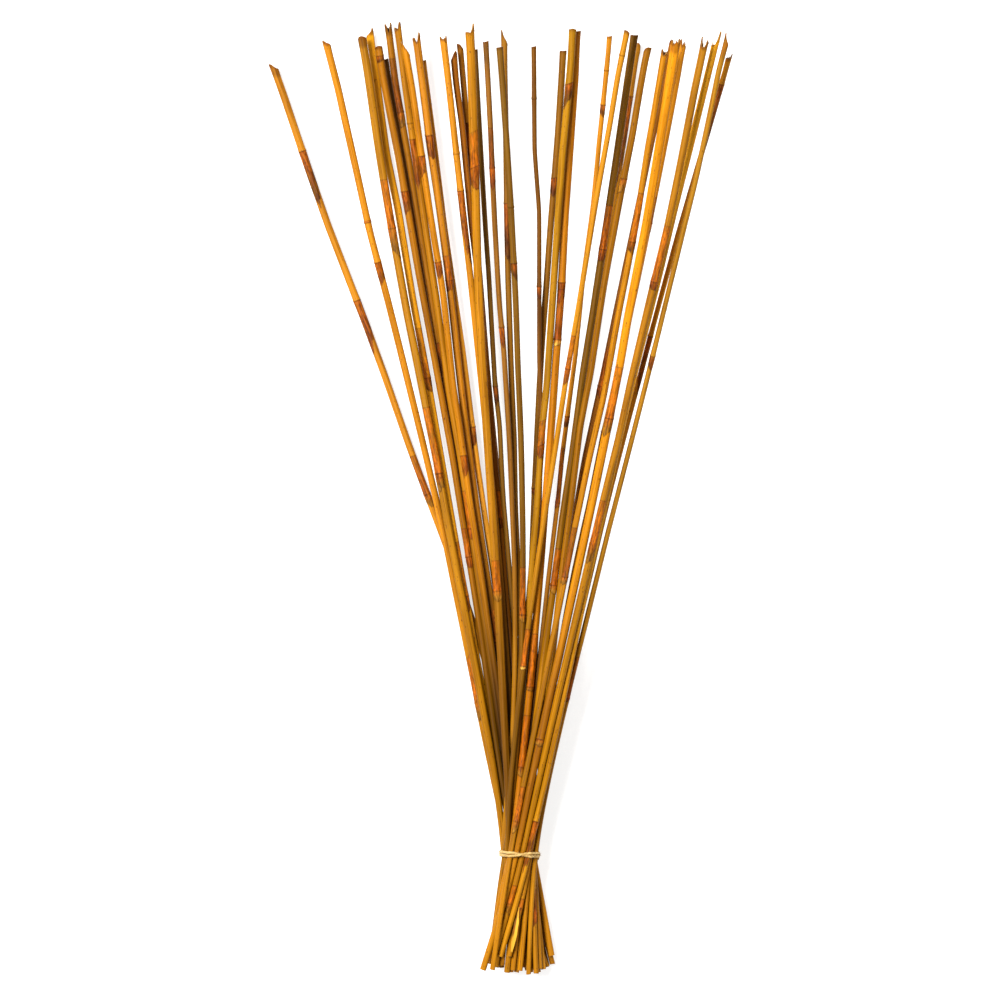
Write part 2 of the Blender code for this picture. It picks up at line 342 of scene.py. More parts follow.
# ------------------------------------------------------------------ paths
@dataclass
class Path:
    """A smooth line in space with a radius, read by the distance along it."""

    places: np.ndarray
    radii: np.ndarray
    along: np.ndarray = field(init=False)

    def __post_init__(self) -> None:
        """Works out the distance along the line at each of its places."""
        self.along = distance_run(self.places)

    @property
    def length(self) -> float:
        """The whole length of the line."""
        return float(self.along[-1])

    @classmethod
    def through(cls, rings: np.ndarray, radii: np.ndarray, step: float) -> "Path":
        """A cubic through the given places, with each tangent the mean of its two sides.

        Args:
            rings: places in order along the line.
            radii: the radius at each.
            step: about how far apart the new places are.

        Returns:
            The smooth path.
        """
        run = distance_run(rings)
        rise = np.diff(rings, axis=0) / np.diff(run)[:, None]
        lean = np.vstack([rise[:1], (rise[1:] + rise[:-1]) / 2, rise[-1:]])
        at = np.linspace(0, run[-1], max(8, int(run[-1] / step)))
        k = np.clip(np.searchsorted(run, at) - 1, 0, len(run) - 2)
        span = (run[k + 1] - run[k])[:, None]
        t = ((at - run[k]) / span[:, 0])[:, None]
        places = ((2 * t**3 - 3 * t**2 + 1) * rings[k]
                  + (t**3 - 2 * t**2 + t) * span * lean[k]
                  + (3 * t**2 - 2 * t**3) * rings[k + 1]
                  + (t**3 - t**2) * span * lean[k + 1])
        return cls(places, np.interp(at, run, radii))

    def inside(self, s: np.ndarray) -> np.ndarray:
        """Places at distances s, which stop at either end."""
        return np.stack([np.interp(s, self.along, self.places[:, k]) for k in range(3)], -1)

    def at(self, s: np.ndarray) -> np.ndarray:
        """Places at distances s, on a straight line past either end."""
        near = np.clip(s, 0, self.length)
        return self.inside(near) + (s - near)[..., None] * self.heading(near)

    def heading(self, s: np.ndarray, gap: float = 2 * MM) -> np.ndarray:
        """Unit directions of travel at distances s, and past either end that end's."""
        near = np.clip(s, 0, self.length)
        return unit(self.inside(near + gap) - self.inside(near - gap))

    def radius(self, s: np.ndarray) -> np.ndarray:
        """The radius at distances s."""
        return np.interp(s, self.along, self.radii)

    def rings(self, s: np.ndarray, turn: np.ndarray, reach: np.ndarray,
              shift: np.ndarray | float = 0.0, up: tuple[float, float, float] = (0, 0, 1)
              ) -> np.ndarray:
        """Points of a surface carried along the path.

        A point is the path's place at s plus shift along the path, plus reach times
        (cos(turn) * top + sin(turn) * side), where top is the part of up square to the
        path and side is square to both.

        Args:
            s: one distance for each row.
            turn: one angle for each column, or for each row and column.
            reach: distance from the path, for each row and column.
            shift: move along the path, for each row and column.
            up: the direction that angle 0 faces.

        Returns:
            An array of rows by columns by 3.
        """
        ahead = self.heading(s)
        top = unit(np.asarray(up, float) - (ahead @ np.asarray(up, float))[:, None] * ahead)
        side = np.cross(top, ahead)
        round_it = (np.cos(turn)[..., None] * top[:, None]
                    + np.sin(turn)[..., None] * side[:, None])
        slide = np.broadcast_to(shift, reach.shape)[..., None] * ahead[:, None]
        return self.at(s)[:, None] + slide + reach[..., None] * round_it


def solid_path(name: str, bend_gap: float = 10 * MM) -> Path:
    """The centre line of a packed stem, from the rings of corners in its mesh.

    The corners are sorted along Y and split into rings wherever the next one is further
    than bend_gap away. A ring's middle is its mean and its radius the mean distance.

    Args:
        name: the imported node.
        bend_gap: the least distance between two rings.

    Returns:
        The smooth path from foot to tip.
    """
    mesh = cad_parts[name].data
    raw = np.empty(len(mesh.vertices) * 3, np.float32)
    mesh.vertices.foreach_get("co", raw)
    corners = np.unique(raw.reshape(-1, 3).round(6).astype(float), axis=0)
    corners = corners[np.argsort(corners[:, 1])]
    breaks = np.flatnonzero(np.diff(corners[:, 1]) > bend_gap) + 1
    groups = np.split(corners, breaks)
    middles = np.array([g.mean(0) for g in groups])
    radii = np.array([np.linalg.norm(g - g.mean(0), axis=1).mean() for g in groups])
    return Path.through(middles, radii, 2 * MM)


# ------------------------------------------------------------------ finishes
@dataclass(frozen=True)
class ReedSkin:
    """Dried reed stem: a hard waxy skin that catches the light in a long soft line.

    The skin is drawn lengthwise in fine fibres, with slow paler and darker stretches and
    a few dark flecks. Stains lie on it in blotches and are scarred lengthwise.
    """

    tint: str
    # painted shade: the lower stem goes over to this darker colour near and above the tie, where
    # the stems shade each other
    lower_stem_shade: str                 # the colour that it goes over to, low on the stem
    roughness: float = 0.44
    gold: str = "#C48412"          # what all the feet share below the tie
    fleck: str = "#4E2A0E"
    line: str = "#2A1206"          # a joint's ring
    fibre_mm: float = 0.9          # drawn a little coarser than the real 0.3, to show
    fleck_mm: float = 1.3

    def noises(self) -> dict[str, tuple[float, float, float, float]]:
        """Each pattern's size across and along the stem in mm, detail and roughness."""
        return {"fibres": (self.fibre_mm, 60.0, 4.0, 0.6), "drift": (7.69, 90.9, 3.0, 0.5),
                "flecks": (self.fleck_mm, self.fleck_mm / 0.35, 2.0, 0.5),
                "scars": (1.613, 16.13, 3.0, 0.65), "blotches": (3.03, 13.333, 4.0, 0.62)}

    def build(self, name: str) -> bpy.types.Material:
        """Makes the material. It reads the attributes of skin_values, except depth.

        Args:
            name: the material's name.

        Returns:
            The material.
        """
        made, add, shader = blank_material(name)
        blend = {"data_type": "RGBA"}
        times = {"data_type": "RGBA", "blend_type": "MULTIPLY"}
        grain, dye, ring, low, feet = (add("Attribute", {"attribute_name": key})
                                       for key in ("grain", "dye", "ring", "low", "feet"))
        noise = {}
        for key, (across, along, detail, rough) in self.noises().items():
            scale = (1 / (across * MM), 1 / (across * MM), 1 / (along * MM))
            sized = add("Mapping", {"in:Scale": scale}, {"Vector": grain.outputs["Vector"]})
            noise[key] = add("TexNoise", {
                "in:Scale": 1.0, "in:Detail": detail, "in:Roughness": rough},
                {"Vector": sized.outputs[0]}).outputs["Fac"]
        # What each pattern leaves of the red, green and blue under it. The last one only
        # says where the flecks are.
        streak, cloud, smear, mottle, spots = (
            add("ValToRGB", {"stops": stops}, {"Fac": noise[key]}).outputs["Color"]
            for key, stops in (
                ("fibres", [(0.30, (0.26, 0.20, 0.08, 1)), (0.46, (0.54, 0.49, 0.26, 1)),
                            (0.70, (0.70, 0.67, 0.42, 1))]),
                ("drift", [(0.30, (0.72, 0.68, 0.5, 1)), (0.5, (1, 1, 1, 1)),
                           (0.72, (1.12, 1.08, 1.0, 1))]),
                ("scars", [(0.38, (0.18, 0.10, 0.05, 1)), (0.50, (0.50, 0.44, 0.32, 1)),
                           (0.64, (0.9, 0.78, 0.5, 1))]),
                ("flecks", [(0.36, (0.25, 0.22, 0.2, 1)), (0.50, (1, 1, 1, 1))]),
                ("flecks", [(0.28, (1, 1, 1, 1)), (0.34, (0, 0, 0, 1))])))
        cover = add("MapRange", {"in:1": 0.36, "in:2": 0.50, "in:3": 0.6, "in:4": 1.0},
                    {"Value": noise["blotches"]})
        stain, worn = (add("Math", {"operation": "MULTIPLY"},
                           {0: share, 1: cover.outputs[0]}).outputs[0]
                       for share in (dye.outputs["Alpha"], ring.outputs["Fac"]))
        # painted shade: the tint goes over to the darker lower-stem colour where the attribute low
        # is high
        shaded = add("Mix", blend | {"in:6": linear(self.tint),
                                     "in:7": linear(self.lower_stem_shade)},
                     {0: low.outputs["Fac"]})
        base = add("Mix", blend | {"in:7": linear(self.gold)},
                   {0: feet.outputs["Fac"], 6: shaded.outputs[2]})
        body = add("Mix", times | {"in:0": 1.0}, {6: base.outputs[2], 7: streak})
        aged = add("Mix", times | {"in:0": 0.9}, {6: body.outputs[2], 7: cloud})
        smeared = add("Mix", times | {"in:0": 1.0}, {6: dye.outputs["Color"], 7: smear})
        dyed = add("Mix", times | {"in:0": 0.6}, {6: smeared.outputs[2], 7: mottle})
        stained = add("Mix", blend, {0: stain, 6: aged.outputs[2], 7: dyed.outputs[2]})
        flecked = add("Mix", blend | {"in:7": linear(self.fleck)},
                      {0: spots, 6: stained.outputs[2]})
        lined = add("Mix", blend | {"in:7": linear(self.line)},
                    {0: worn, 6: flecked.outputs[2]})
        bump = add("Bump", {"in:Strength": 0.35, "in:Distance": 0.15 * MM},
                   {"Height": noise["fibres"]})
        gloss = add("MapRange", {"in:3": self.roughness - 0.06,
                                 "in:4": self.roughness + 0.16},
                    {"Value": noise["fibres"]})
        finish(shader, {"IOR": 1.5, "Specular IOR Level": 0.06},
               {"Base Color": lined.outputs[2], "Roughness": gloss.outputs[0],
                "Normal": bump.outputs[0]})
        return made


@dataclass(frozen=True)
class ReedPith:
    """Cut reed: the pale fibrous wall of the stem, going nearly black down the hollow in a painted
    shade.
    """

    wall: str = "#966C30"
    pore: str = "#6A421A"
    # painted shade: the near-black colour deep in the cut hollow
    hollow: str = "#1C1008"
    pore_mm: float = 0.4           # drawn coarser than real pores, to show

    def build(self) -> bpy.types.Material:
        """Makes the material. It reads the stem's attributes grain and depth.

        Returns:
            The material.
        """
        made, add, shader = blank_material("cut_reed_pith")
        grain, depth = (add("Attribute", {"attribute_name": key})
                        for key in ("grain", "depth"))
        pores = add("TexNoise", {"in:Scale": 1 / (self.pore_mm * MM), "in:Detail": 2.0},
                    {"Vector": grain.outputs["Vector"]})
        speckle = add("ValToRGB", {"stops": [(0.35, linear(self.pore)),
                                             (0.6, linear(self.wall))]},
                      {"Fac": pores.outputs["Fac"]})
        painted_hollow_shade = add("Mix", {"data_type": "RGBA", "in:7": linear(self.hollow)},
                   {0: depth.outputs["Fac"], 6: speckle.outputs["Color"]})
        finish(shader, {"Roughness": 0.85}, {"Base Color": painted_hollow_shade.outputs[2]})
        return made


@dataclass(frozen=True)
class RaffiaFibre:
    """Twisted raffia: dry matte ribbon fibres, straw cream, with a painted shade between the
    threads and a painted highlight on them.
    """

    # painted highlight (light) and painted shade (shade) on and between the threads, round the
    # straw colour
    light: str = "#CDB276"
    straw: str = "#AE8640"
    shade: str = "#5E431A"
    thread_mm: float = 0.45
    thread_length_mm: float = 14.3

    def build(self) -> bpy.types.Material:
        """Makes the material. It reads the strand's own attribute grain.

        Returns:
            The material.
        """
        made, add, shader = blank_material("twisted_raffia")
        grain = add("Attribute", {"attribute_name": "grain"})
        across, along = 1 / (self.thread_mm * MM), 1 / (self.thread_length_mm * MM)
        sized = add("Mapping", {"in:Scale": (across, across, along)},
                    {"Vector": grain.outputs["Vector"]})
        threads = add("TexNoise", {"in:Scale": 1.0, "in:Detail": 4.0, "in:Roughness": 0.6},
                      {"Vector": sized.outputs[0]}).outputs["Fac"]
        # painted shade between the threads and painted highlight on them, by the thread pattern
        tone = add("ValToRGB", {"stops": [(0.32, linear(self.shade)),
                                          (0.46, linear(self.straw)),
                                          (0.64, linear(self.light))]}, {"Fac": threads})
        bump = add("Bump", {"in:Strength": 0.7, "in:Distance": 0.3 * MM},
                   {"Height": threads})
        finish(shader, {"Roughness": 0.72},
               {"Base Color": tone.outputs["Color"], "Normal": bump.outputs[0]})
        return made


# ------------------------------------------------------------------ stems
@dataclass(frozen=True)
class Joint:
    """A joint of a stem, with what the leaf sheath has left on either side of it.

    The ring is at ring_mm on the row's Y axis. Above it, towards the tip, the skin is
    stained for above_mm, and below it a patch of sheath ends in a ragged V.
    """

    ring_mm: float
    above_mm: float = 0.0
    below_mm: float = 0.0
    above: Tone = Tone.ORANGE
    below: Tone = Tone.BROWN
    slant_mm: float = 0.0
    faces_deg: float = 0.0         # where the V hangs lowest, from the top round to -X


@dataclass(frozen=True)
class StemLook:
    """What sets one stem apart: its dried colour, its tip and its joints.

    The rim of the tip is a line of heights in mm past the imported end, at angles in
    degrees from the top round to -X. Between two of them it runs straight.
    """

    tint: str
    tip: Tip = Tip.CLEAN
    joints: tuple[Joint, ...] = ()
    tip_stain_mm: float = 0.0
    tip_stain: Tone = Tone.BROWN
    rim: tuple[tuple[float, float], ...] = ((-90, 0.5), (90, -0.5), (180, -1))
    # painted shade: the darker colour of the lower stem near and above the tie
    foot: str = "#B47A06"


O, R, B, D, T, G, P = (Tone.ORANGE, Tone.RED, Tone.BROWN, Tone.DARK, Tone.TAN, Tone.GREY,
                       Tone.PALE)
CLEAN, RAGGED, SPLINTERED = Tip.CLEAN, Tip.RAGGED, Tip.SPLINTERED
# painted shade: the near-black lower stems of stems that lie deep inside the bunch
SHADE = "#422804"              # the feet of stems from the inside of the bunch

# From the leftmost tip to the rightmost, the order of the imported nodes.
# Tints hold the bunch's light and shade as well as each stem's dried colour: stems deep in the
# bunch are darker, a painted shade, and stems 4, 11 and 34, in their neighbours' shadow, lighter,
# a painted light.
STEMS: tuple[StemLook, ...] = (
    StemLook("#CC8820", CLEAN, (
        Joint(369, 0, 62, B, D, 0, 70), Joint(211, 0, 60, B, B), Joint(6, 43, 15, R, G)),
        14, B, ((-90, -4), (-30, -2), (30, 3), (60, 4), (110, 4.5), (180, -1))),
    StemLook("#D48C22", CLEAN, (
        Joint(293, 2, 0), Joint(251, 0, 23, B, B), Joint(-211, 47, 23, O, G, 8)),
        3, B, ((-90, -3), (0, 1), (60, 4), (100, 3), (180, 0))),
    StemLook("#B47C18", RAGGED, (Joint(287, 52, 35, O, G), Joint(28, 71, 19, O, G)),
             12, B, ((-90, -1), (-45, 2), (0, 3.5), (50, 3), (90, 0), (180, -2))),
    # painted light: tint and foot colour lightened against the shadow of neighbouring stems
    StemLook("#FFB428", CLEAN, (Joint(129, 53, 15, O, B), Joint(-102, 58, 19, O, B)),
             5, B, ((-110, 1), (-65, 6), (-20, 2), (40, -1), (90, -3), (180, -3)), foot="#DC980A"),
    StemLook("#AE7012", CLEAN, (
        Joint(469, 0, 7, B, D), Joint(326, 0, 25), Joint(-60, 30, 12)),
        3, B, ((-90, 0.5), (0, 1.5), (90, 0), (180, 0)), foot="#6A4606"),
    StemLook("#7C521C", CLEAN, (Joint(180, 30, 20, D, D),), foot=SHADE),
    StemLook("#A66C10", RAGGED, (Joint(410, 57, 17, B, G), Joint(166, 0, 44, B, D)),
             12, D, ((-100, 1), (-60, 4), (-30, -2), (5, -8), (35, 1), (75, 3), (180, -2)),
             foot=SHADE),
    StemLook("#BC7E18", RAGGED, (Joint(398), Joint(381, 0, 53), Joint(-30, 40, 14)),
             4, B, ((-90, 4), (-50, 5), (0, -2), (50, -4), (90, 0), (180, -2)), foot=SHADE),
    StemLook("#D08818", CLEAN, (
        Joint(363, 0, 23), Joint(251, 0, 17, O, B), Joint(47, 0, 24)),
        0, B, ((-90, -10), (-45, -5), (0, 1), (40, 5), (90, 7), (180, -2)), foot=SHADE),
    StemLook("#CC8620", SPLINTERED, (
        Joint(385, 0, 26), Joint(232, 26, 12), Joint(-150, 34, 12)),
        5, B, ((-110, 0), (-70, 6), (-40, 2), (5, -5), (40, 1), (80, 0), (180, -4)), foot=SHADE),
    # painted light: tint lightened against the shadow of the stem beside it
    StemLook("#F0A83C", CLEAN, (Joint(77, 0, 23),), foot=SHADE),
    StemLook("#D28C1C", RAGGED, (Joint(365), Joint(326, 0, 83, O, B, 0, -40)),
             3, B, ((-70, 3), (-20, 0), (20, 0), (70, 3), (180, 0)), foot=SHADE),
    StemLook("#A46212", CLEAN, (Joint(200, 30, 15), Joint(-20, 30, 10)),
             5, B, ((-90, 3), (-50, 6), (0, 3), (40, -1), (90, -5), (180, -2)), foot=SHADE),
    StemLook("#A86C16", CLEAN, (Joint(398, 0, 77, B, D),),
             5, B, ((-90, -3), (0, 3), (60, 4), (180, 0)), foot=SHADE),
    StemLook("#C08218", SPLINTERED, (Joint(351, 37, 26, O, B, 4), Joint(-96, 32, 11, O, T)),
             0, B, ((-110, 3), (-80, 9), (-50, 5), (-10, -1), (20, 0), (90, 0), (180, -1)),
             foot="#7C5006"),
    StemLook("#8C6220", CLEAN, (Joint(120, 0, 20, B, D),), foot=SHADE),
    StemLook("#98662A", CLEAN, (Joint(350, 42, 23, B, B, 0, 30), Joint(182, 0, 21)), 28, G),
    StemLook("#805A18", CLEAN, (
        Joint(308), Joint(249, 0, 19, B, D), Joint(-121, 50, 8, O, T)), foot="#8C5C08"),
    StemLook("#96661A", CLEAN, (Joint(313, 0, 65, B, D),),
             0, B, ((-90, -10), (-60, -7), (0, -1), (45, 5), (90, 7), (180, -2)), foot="#94640C"),
    StemLook("#7E5014", CLEAN, (Joint(423), Joint(225, 0, 14, B, D)), foot=SHADE),
    StemLook("#926214", CLEAN, (Joint(340, 0, 20, B, D, 3), Joint(12, 0, 7)), foot=SHADE),
    StemLook("#B68212", CLEAN, (Joint(438, 0, 24, B, D, 4), Joint(58, 26, 17, O, B, 4)),
             0, B, ((-90, -1), (0, 0.5), (90, -1), (180, -1))),
    StemLook("#CC8218", CLEAN, (
        Joint(229, 0, 22, B, D), Joint(169, 53, 7, R, P), Joint(-197, 56, 5, O, T),
        Joint(-282, 55, 11, O, T)), foot="#C87C10"),
    StemLook("#D48C1E", CLEAN, (
        Joint(452), Joint(416, 0, 13, B, D), Joint(234), Joint(88, 0, 12, B, D),
        Joint(-3, 58, 6, R, B)), foot=SHADE),
    StemLook("#CE8E1E", CLEAN, (Joint(467), Joint(138, 35, 17), Joint(-175, 39, 4, O, P)),
             3, B, ((-90, -1), (0, 2), (90, 2), (180, 0)), foot="#785008"),
    StemLook("#805810", CLEAN, (Joint(264, 47, 13), Joint(-90, 39, 10, O, T)), foot="#B87C0A"),
    StemLook("#B87C1E", RAGGED, (Joint(427, 0, 120, B, D),),
             0, B, ((-90, -8), (-50, 0), (0, 3), (90, 1), (180, 0)), foot=SHADE),
    StemLook("#A06A10", CLEAN, (Joint(338, 0, 17, B, T), Joint(-437, 25, 16, R, B)),
             0, B, ((-90, 2), (0, 2), (50, 0), (90, -4), (180, 0))),
    StemLook("#CA8818", RAGGED, (
        Joint(271, 52, 13, O, D), Joint(-81, 53, 8, B, G), Joint(-339, 37, 14, O, T)),
        3, B, ((-60, 2), (-20, -2), (20, -2), (50, 3), (90, 3), (180, 0)), foot="#9A6604"),
    StemLook("#A06216", RAGGED, (Joint(120, 40, 12),),
             4, B, ((-90, -1), (0, 2), (45, 6), (80, 3), (180, -1))),
    StemLook("#EA9C18", SPLINTERED, (Joint(86, 55, 19, O, G), Joint(-252, 0, 8, O, T)),
             14, R, ((-85, 1), (-60, 6), (-35, -1), (-15, 3), (10, -1), (35, -2), (60, 3),
                     (90, -4), (180, -1)), foot="#9A6008"),
    StemLook("#DC941C", SPLINTERED, (Joint(291, 28, 10, B, T), Joint(71, 0, 16, O, T)),
             4, B, ((-60, -2), (-20, 4), (10, 0), (50, 6), (90, 2), (180, 0))),
    StemLook("#B27818", SPLINTERED, (
        Joint(229, 60, 9), Joint(-47, 48, 21, O, G), Joint(-426, 20, 12, O, T)),
        8, B, ((-80, 0), (-50, 5), (-25, -2), (5, -5), (40, -3), (65, 4), (90, 6), (180, -4))),
    # painted light: tint lightened against the shadow of the stem over it
    StemLook("#FFB830", SPLINTERED, (Joint(-339, 0, 55),),
             0, B, ((-95, 9), (-60, 13), (-30, 5), (0, -2), (40, -5), (90, -5), (180, -3))),
    StemLook("#B48022", CLEAN, (Joint(151, 0, 15), Joint(-209, 45, 4, R, B)),
             26, O, ((-90, -8), (-30, -4), (20, 1), (60, 5), (100, 6), (180, -1))),
    StemLook("#DC9622", RAGGED, (
        Joint(436, 0, 74, B, D), Joint(172, 0, 64), Joint(-431, 10, 12, O, G)),
        7, O, ((-100, 3), (-70, 4), (-20, -1), (30, -3), (90, -2), (180, -1))),
)


@dataclass
class Stem:
    """One reed, from its cut foot to its tip, hollow at both ends."""

    number: int
    look: StemLook
    skin_step_mm: float = 7.0
    joint_step_mm: float = 1.0
    hollow_mm: float = 15.0
    wall: float = 0.60             # the hollow's share of the radius
    end_reach_mm: float = 13.0     # how far a cut's slant or break is felt down the stem
    sway_mm: float = 0.75          # the standard deviation of its stray to either side
    bend_gap_mm: float = 80.0      # about how far apart its slight bends are
    flare: float = 0.07            # the broken tip's spread, as a share of the radius
    torn: str = "#D8A050"          # fresh fibres at a broken tip
    path: Path = field(init=False)
    rng: np.random.Generator = field(init=False)

    def __post_init__(self) -> None:
        """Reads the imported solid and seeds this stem's own variation."""
        self.path = solid_path(self.name)
        self.rng = np.random.default_rng(self.number)
        self.sway()

    def sway(self) -> None:
        """Bends the stem a little to either side, as a grown one does.

        Sideways offsets are drawn about bend_gap_mm apart and joined by straight runs
        with rounded corners. They fade to nothing where the stems are packed by the tie.
        """
        path = self.path
        gap = self.bend_gap_mm * MM
        spots = np.arange(0, path.length + gap, gap)
        spots = spots + self.rng.uniform(-22, 22, len(spots)) * MM
        aside = np.interp(path.along, spots, self.rng.normal(0, self.sway_mm, len(spots)))
        kernel = np.hanning(15)
        aside = np.convolve(np.pad(aside, 7, mode="edge"), kernel / kernel.sum(), "valid")
        fan = smoothstep(-0.30, 0.15, path.places[:, 1])
        path.places[:, 0] += aside * MM * fan

    @property
    def name(self) -> str:
        """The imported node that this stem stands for."""
        return f"reed_{self.number:02d}"

    def along_of(self, y_mm: float) -> float:
        """The distance from the foot to where the stem passes y_mm."""
        return float(np.interp(y_mm * MM, self.path.places[:, 1], self.path.along))

    def rows(self) -> np.ndarray:
        """Spaces the outer rows, close together near joints and the two ends.

        Returns:
            Distances from the foot, at least 0.3 mm apart.
        """
        end = self.path.length
        parts = [np.arange(0, end, self.skin_step_mm * MM),
                 np.arange(0.8, 20, 1.6) * MM, end - np.arange(0.8, 22, 1.0) * MM]
        for joint in self.look.joints:
            ring = self.along_of(joint.ring_mm)
            low = ring - (joint.below_mm + 6) * MM
            high = ring + (joint.above_mm + 5) * MM
            parts.append(np.arange(low, high, self.joint_step_mm * MM))
            parts.append(ring + np.arange(-3, 3, 0.45) * MM)
        rows = np.unique(np.concatenate(parts).round(5))
        rows = rows[(rows > 0.7 * MM) & (rows < end - 0.7 * MM)]
        keep = np.concatenate([[True], np.diff(rows) > 0.3 * MM])
        return rows[keep]

    def end_shift(self, turn: np.ndarray) -> np.ndarray:
        """How far the tip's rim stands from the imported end, at each angle.

        It is the look's rim line, with small tears below it: an uneven ripple that is
        pushed down by its size, so that it leaves sharp teeth.

        Args:
            turn: angles round the stem.

        Returns:
            One shift in metres for each angle.
        """
        degrees, heights = zip(*self.look.rim)
        line = np.interp(np.degrees(turn), degrees, heights, period=360)
        tear_mm, _ = self.look.tip.value
        return (line - tear_mm * np.abs(ripple(turn, self.rng, 2, 9))) * MM

    def marks(self, s: np.ndarray, turn: np.ndarray) -> dict[str, np.ndarray]:
        """Relief and stains of the joints over the whole skin.

        For each joint, t is the distance below its ring. The ring is a raised bell over
        t, with a groove under it. The sheath patch is 1 for 0 < t < edge, where edge is a
        V: below_mm at the angle it faces, 0.4 of that behind, and a ripple on it. It goes
        from near orange at the ring to its own tone at the edge. The stain above is 1 for
        -above_mm < t < 0.

        Args:
            s: one distance for each row.
            turn: one angle for each column.

        Returns:
            relief in metres, dye as linear colour with its weight, and ring from 0 to 1.
        """
        shape = (len(s), len(turn))
        relief, line, dye = np.zeros(shape), np.zeros(shape), np.zeros((*shape, 4))
        for joint in self.look.joints:
            facing = math.radians(joint.faces_deg) + self.rng.uniform(-1.3, 1.3)
            tilt = joint.slant_mm / 2 * MM * np.cos(turn + math.pi / 2)
            t = self.along_of(joint.ring_mm) + tilt[None] - s[:, None]
            crack = ripple(turn, self.rng, 3, 9)
            away = np.abs(np.angle(np.exp(1j * (turn - facing)))) / math.pi
            edge = joint.below_mm * MM * (0.4 + 0.6 * (1 - away) + 0.13 * crack)
            patch = (joint.below_mm > 0) * smoothstep(-0.5 * MM, 0.3 * MM, t) * (
                1 - smoothstep(-0.5 * MM, 0.5 * MM, t - edge[None]))
            top = joint.above_mm * MM * (1 + 0.03 * ripple(turn, self.rng, 2, 6))
            stain = (joint.above_mm > 0) * (t < 0) * smoothstep(
                -1.2 * MM, 1.0 * MM, t + top[None])
            stain = stain * (0.72 + 0.28 * bell(t, 0.5 * (joint.above_mm + 1) * MM))
            fresh = 0.6 * (1 - smoothstep(0.1, 0.8, t / (edge + 0.1 * MM)))
            below = laid_over(joint.below.colour, fresh, Tone.ORANGE.colour)
            dye = laid_over(dye, 0.85 * stain, joint.above.colour)
            dye = laid_over(dye, 0.92 * patch, below)
            upper = bell(t + joint.above_mm * MM, 0.45 * MM) * (joint.above_mm > 0) * 0.55
            line = np.maximum(line, np.maximum(0.7 * bell(t, 0.55 * MM), upper))
            shadow = bell(t - edge[None], 0.5 * MM) * (joint.below_mm > 0)
            line = np.maximum(line, 0.75 * shadow)
            relief += (0.26 * bell(t + 0.5 * MM, 1.2 * MM) - 0.16 * bell(t - 1.3 * MM, 0.8 * MM)
                       + 0.20 * bell(t, 7 * MM) + 0.12 * patch) * MM
        dye[..., :3] /= np.maximum(dye[..., 3:], 1e-4)
        back = self.path.length - np.broadcast_to(s[:, None], shape)
        if self.look.tip_stain_mm:
            reach = self.look.tip_stain_mm * MM
            ragged = back + 2 * MM * ripple(turn, self.rng, 2, 6)
            dye = laid_over(dye, 0.5 * (1 - smoothstep(0.6 * reach, reach, ragged)),
                            self.look.tip_stain.colour)
        dye = laid_over(dye, 0.55 * (1 - smoothstep(0.5 * MM, 4.5 * MM, back)),
                        Tone.BROWN.colour)
        return {"relief": relief, "dye": dye, "ring": line}

    def shade_and_gold_shares(self, s: np.ndarray) -> tuple[np.ndarray, np.ndarray]:
        """How the stem's colour changes over its lower half.

        Its own foot colour, a painted shade where the stems crowd together and shade each other
        near the tie, comes in between 540 and 230 mm from the foot, and most of it goes again
        between 180 and 75 mm, where the gold of all the feet comes in.

        Args:
            s: distances from the foot.

        Returns:
            The share of the foot colour's painted shade and the share of the gold.
        """
        low = (1 - smoothstep(230 * MM, 540 * MM, s)) * (
            0.15 + 0.85 * smoothstep(75 * MM, 180 * MM, s))
        return low, 0.7 * (1 - smoothstep(70 * MM, 150 * MM, s))

    def skin(self) -> Shell:
        """The whole stem as one closed surface, from the foot's hollow to the tip's.

        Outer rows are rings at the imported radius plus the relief. At each end the rows
        turn over the rim and run back down the hollow. The shift of the cut fades out
        over end_reach_mm, by the square of what is left. One shallow groove runs along
        the stem and swings slowly from side to side.

        Returns:
            The shell, with the values that the stem's finishes read.
        """
        turn = np.arange(SIDES) * 2 * math.pi / SIDES
        outer = self.rows()
        end = self.path.length
        # Past the rim: how far back each row lies, and at what share of the radius.
        rim_back = np.array([0.5, 0.15, 0.0, 0.0, 0.3, 3.0, self.hollow_mm,
                             self.hollow_mm + 0.3]) * MM
        rim_share = np.array([1.0, 0.985, 0.93, self.wall + 0.05, self.wall, 0.97 * self.wall,
                              0.9 * self.wall, 0.4 * self.wall])
        s = np.concatenate([rim_back[::-1], outer, end - rim_back])
        share = np.concatenate([rim_share[::-1], np.ones(len(outer)), rim_share])
        found = self.marks(s, turn)
        wander = 1 + 0.012 * np.sin(s / (37 * MM) + self.number)[:, None]
        uneven = 1 + 0.014 * ripple(turn, self.rng, 2, 5)[None]
        swing = self.rng.uniform(-1.1, 1.1) + 0.25 * np.sin(s / (190 * MM) + self.number)
        away = np.angle(np.exp(1j * (turn[None] - swing[:, None])))
        uneven = uneven - self.rng.uniform(0.03, 0.13) * bell(away, 0.30)
        count = len(rim_back)
        on_skin = np.zeros(len(s))
        on_skin[count - 2:len(s) - count + 2] = 1
        spread = 1 + self.flare * bell(end - s, 9 * MM)[:, None]
        reach = (self.path.radius(s)[:, None] * share[:, None] * wander * uneven * spread
                 + found["relief"] * on_skin[:, None])
        tip_pull = np.clip(1 - (end - s) / (self.end_reach_mm * MM), 0, 1) ** 2
        foot_pull = np.clip(1 - s / (self.end_reach_mm * MM), 0, 1) ** 2
        foot = 0.5 * MM * np.abs(ripple(turn, self.rng, 2, 6)) + 0.25 * MM * (
            1 - np.cos(turn - self.rng.uniform(0, 6.0)))
        shift = (tip_pull[:, None] * self.end_shift(turn)[None]
                 + foot_pull[:, None] * foot[None])
